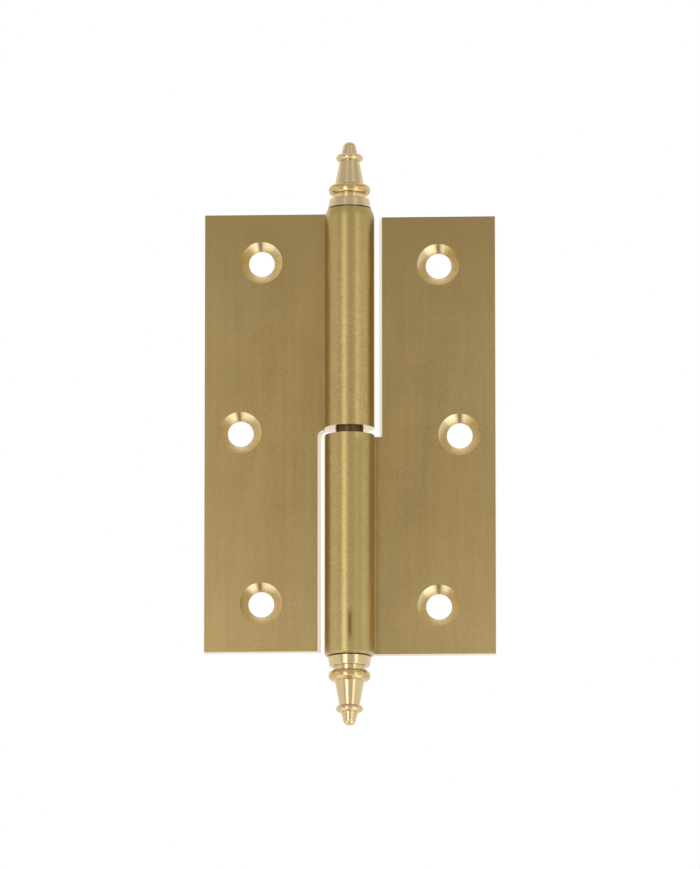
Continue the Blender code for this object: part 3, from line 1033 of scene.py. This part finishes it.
def make_finial(name, upside_down):
    profile = [(radius, height + FINIAL_SEAT) for radius, height in finial_profile()]
    piece = turn_on_lathe(name, profile, FINIAL_STEPS, finial_brass)
    if upside_down:
        piece.data.transform(half_turn)
    piece.data.set_sharp_from_angle(angle=SHARP_ANGLE)
    print(name, "faces:", len(piece.data.polygons))
    return piece


top_finial = make_finial("top_finial_brass", upside_down=False)
bottom_finial = make_finial("bottom_finial_brass", upside_down=True)

# %% [markdown]
# ## The pin
#
# Only a short stretch of it shows, between the knuckles, but it is whole, because the leaf lifts
# off and bares it. Its nose is domed, and its foot is chamfered.

# %% Make the pin
PIN_NOSE = 0.9 * MM
PIN_CHAMFER = 0.4 * MM


def pin_profile():
    dome_radius = (PIN_RADIUS**2 + PIN_NOSE**2) / (2 * PIN_NOSE)
    spread = math.asin(PIN_RADIUS / dome_radius)
    profile = arc((0.0, pin_high.z - dome_radius), dome_radius, math.pi / 2,
                  math.pi / 2 - spread, DOME_STEPS)
    profile[0] = (0.0, pin_high.z)
    profile.append((PIN_RADIUS, pin_low.z + PIN_CHAMFER))
    profile.append((PIN_RADIUS - PIN_CHAMFER, pin_low.z))
    profile.append((0.0, pin_low.z))
    return profile


steel_pin = turn_on_lathe("steel_pin", pin_profile(), FINIAL_STEPS, pin_steel)
steel_pin.data.set_sharp_from_angle(angle=SHARP_ANGLE)
print("pin faces:", len(steel_pin.data.polygons))

# %% [markdown]
# ## Riding on the frame
#
# Each piece replaces its node of the frame and rides on that node's body.

# %% Hand the pieces to their bodies
dressed = [
    (upper_leaf, "upper_leaf", "door_leaf", "leaf_brass"),
    (top_finial, "top_finial", "door_leaf", "finial_brass"),
    (lower_leaf, "lower_leaf", "frame_leaf", "leaf_brass"),
    (bottom_finial, "bottom_finial", "frame_leaf", "finial_brass"),
    (steel_pin, "hinge_pin", "pin", "pin_steel"),
]
for piece, node, body, finish in dressed:
    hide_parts(node)
    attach(piece, body)
print("dressed:", [piece.name for piece, *_ in dressed])

# %% [markdown]
# ## The floor
#
# The floor is pale and lies far below the hinge, so that it holds only a faint shadow. It is large,
# because its edge would cut the view from above. Seen from beneath it lets the view through.

# %% Lay the floor
FLOOR_HEIGHT = -0.80
FLOOR_SIDE = 60.0


def pale_floor():
    material = bpy.data.materials.new("pale_floor")
    material.use_nodes = True
    tree = material.node_tree
    shader = tree.nodes["Principled BSDF"]
    shader.inputs["Base Color"].default_value = linear("fafaf8")
    shader.inputs["Roughness"].default_value = 0.9
    shader.inputs["Specular IOR Level"].default_value = 0.1
    clear = add_node(tree, "ShaderNodeBsdfTransparent")
    behind = add_node(tree, "ShaderNodeNewGeometry").outputs["Backfacing"]
    one_sided = add_node(tree, "ShaderNodeMixShader",
                         {0: behind, 1: shader.outputs[0], 2: clear.outputs[0]})
    tree.links.new(one_sided.outputs[0], tree.nodes["Material Output"].inputs["Surface"])
    return material


half = FLOOR_SIDE / 2
floor_corners = [(-half, -half), (half, -half), (half, half), (-half, half)]
floor_mesh = bpy.data.meshes.new("floor")
floor_mesh.from_pydata([(x, y, FLOOR_HEIGHT) for x, y in floor_corners], [], [(0, 1, 2, 3)])
floor_mesh.materials.append(pale_floor())
floor = new_piece("floor", floor_mesh)
print("floor below the hinge (m):", FLOOR_HEIGHT)

# %% [markdown]
# ## What the brass mirrors
#
# Polished metal shows its surroundings, so its looks depend on what stands round it. Two plain
# cloths hang there that only the metal sees. A grey curtain behind the camera gives the brass
# something darker to mirror than the white all round, and spreads as it rises. Low down and nearer,
# a narrow brown strip stands for the foot of the camera's stand. It is the dark wedge at the top
# of each countersink. Both are patches of a sphere round the hinge.

# %% Hang the curtain and the stand
CURTAIN_RADIUS = 2.4
CURTAIN_COLOUR = (0.66, 0.66, 0.66)
CURTAIN_EDGES = [(-19, 50), (17, 50), (27, 120), (55, 120), (80, 120)]
STAND_RADIUS = 0.74
STAND_COLOUR = (0.22, 0.13, 0.07)
STAND_HALF_WIDTH = 0.12
STAND_LOWEST, STAND_HIGHEST = -86, -60
CLOTH_STEPS = 12


def plain_cloth(name, colour):
    material = bpy.data.materials.new(name)
    material.use_nodes = True
    tree = material.node_tree
    tree.nodes.remove(tree.nodes["Principled BSDF"])
    glow = add_node(tree, "ShaderNodeEmission", {"Color": (*colour, 1.0)})
    tree.links.new(glow.outputs[0], tree.nodes["Material Output"].inputs["Surface"])
    return material


def direction(azimuth, elevation):
    """Unit vector from the hinge. Azimuth 0 is towards the viewer, and 90 degrees to the right."""
    return Vector((
        math.sin(azimuth) * math.cos(elevation),
        -math.cos(azimuth) * math.cos(elevation),
        math.sin(elevation),
    ))


def hang(name, radius, edges, colour):
    """A patch of a sphere round the hinge. edges lists elevations and half spreads in degrees."""
    shape = bmesh.new()
    rows = []
    for elevation, spread in edges:
        turns = [spread * step / CLOTH_STEPS for step in range(-CLOTH_STEPS, CLOTH_STEPS + 1)]
        rows.append([
            shape.verts.new(radius * direction(math.radians(turn), math.radians(elevation)))
            for turn in turns
        ])
    for low, high in zip(rows, rows[1:]):
        for i in range(len(low) - 1):
            shape.faces.new((low[i], low[i + 1], high[i + 1], high[i]))
    mesh = bpy.data.meshes.new(name)
    shape.to_mesh(mesh)
    shape.free()
    mesh.materials.append(plain_cloth(name, colour))
    cloth = new_piece(name, mesh)
    cloth.visible_camera = False
    cloth.visible_diffuse = False
    cloth.visible_shadow = False
    return cloth


stand_edges = []
for elevation in range(STAND_LOWEST, STAND_HIGHEST):
    half_spread = math.asin(min(1.0, STAND_HALF_WIDTH / math.cos(math.radians(elevation))))
    stand_edges.append((elevation, math.degrees(half_spread)))
curtain = hang("grey_curtain", CURTAIN_RADIUS, CURTAIN_EDGES, CURTAIN_COLOUR)
stand = hang("camera_stand", STAND_RADIUS, stand_edges, STAND_COLOUR)
print("curtain faces:", len(curtain.data.polygons), "stand faces:", len(stand.data.polygons))

# %% [markdown]
# ## Light
#
# Two soft boxes stand to the left and right of the camera. The slot between them is the darker
# line down the middle of every round piece. Two pairs of faint glows above them soften the upper
# ends of the bright bands, and two low lamps light the sides of the countersinks. The world is
# plain white, which is also the background. A lamp's power is worked out from its radiance, so
# that a box can change size and stay as bright to look at.

# %% Light it
LAMP_DISTANCE = 0.8
LOW_LAMP_DISTANCE = 0.75
# Name, azimuth and elevation in degrees, distance, width, height and radiance.
LAMPS = [
    ("left_softbox", -21, -12, LAMP_DISTANCE, 0.25, 0.64, 2.1),
    ("right_softbox", 40, -12, LAMP_DISTANCE, 0.23, 0.64, 1.25),
    ("left_upper_glow", -24, 17, LAMP_DISTANCE, 0.22, 0.14, 0.75),
    ("right_upper_glow", 37, 17, LAMP_DISTANCE, 0.20, 0.14, 0.70),
    ("left_high_glow", -23, 37, LAMP_DISTANCE, 0.22, 0.40, 0.20),
    ("right_high_glow", 37, 37, LAMP_DISTANCE, 0.26, 0.40, 0.24),
    ("low_left_lamp", -75, -54, LOW_LAMP_DISTANCE, 0.52, 0.50, 0.45),
    ("low_right_lamp", 70, -54, LOW_LAMP_DISTANCE, 0.52, 0.50, 0.8),
]


def soft_lamp(name, azimuth, elevation, distance, width, height, radiance):
    """A soft box that faces the hinge from a direction, seen by the metal and not by the camera."""
    data = bpy.data.lights.new(name, "AREA")
    data.shape = "RECTANGLE"
    data.size = width
    data.size_y = height
    data.energy = radiance * math.pi * width * height
    lamp = bpy.data.objects.new(name, data)
    bpy.context.scene.collection.objects.link(lamp)
    out = direction(math.radians(azimuth), math.radians(elevation))
    lamp.location = out * distance
    lamp.rotation_mode = "QUATERNION"
    lamp.rotation_quaternion = out.to_track_quat("Z", "Y")
    lamp.visible_camera = False


for lamp_sizes in LAMPS:
    soft_lamp(*lamp_sizes)

# The world is one plain colour, so it needs no map of where it is bright.
world = bpy.data.worlds.new("white_studio")
world.use_nodes = True
bpy.context.scene.world = world
sky = world.node_tree
sky.nodes.clear()
plain = add_node(sky, "ShaderNodeBackground", {"Color": (1.0, 1.0, 1.0, 1.0), "Strength": 1.0})
add_node(sky, "ShaderNodeOutputWorld", {0: plain.outputs[0]})
world.cycles.sampling_method = "NONE"
bpy.context.scene.view_settings.view_transform = "Standard"
print("lamps:", len(LAMPS))
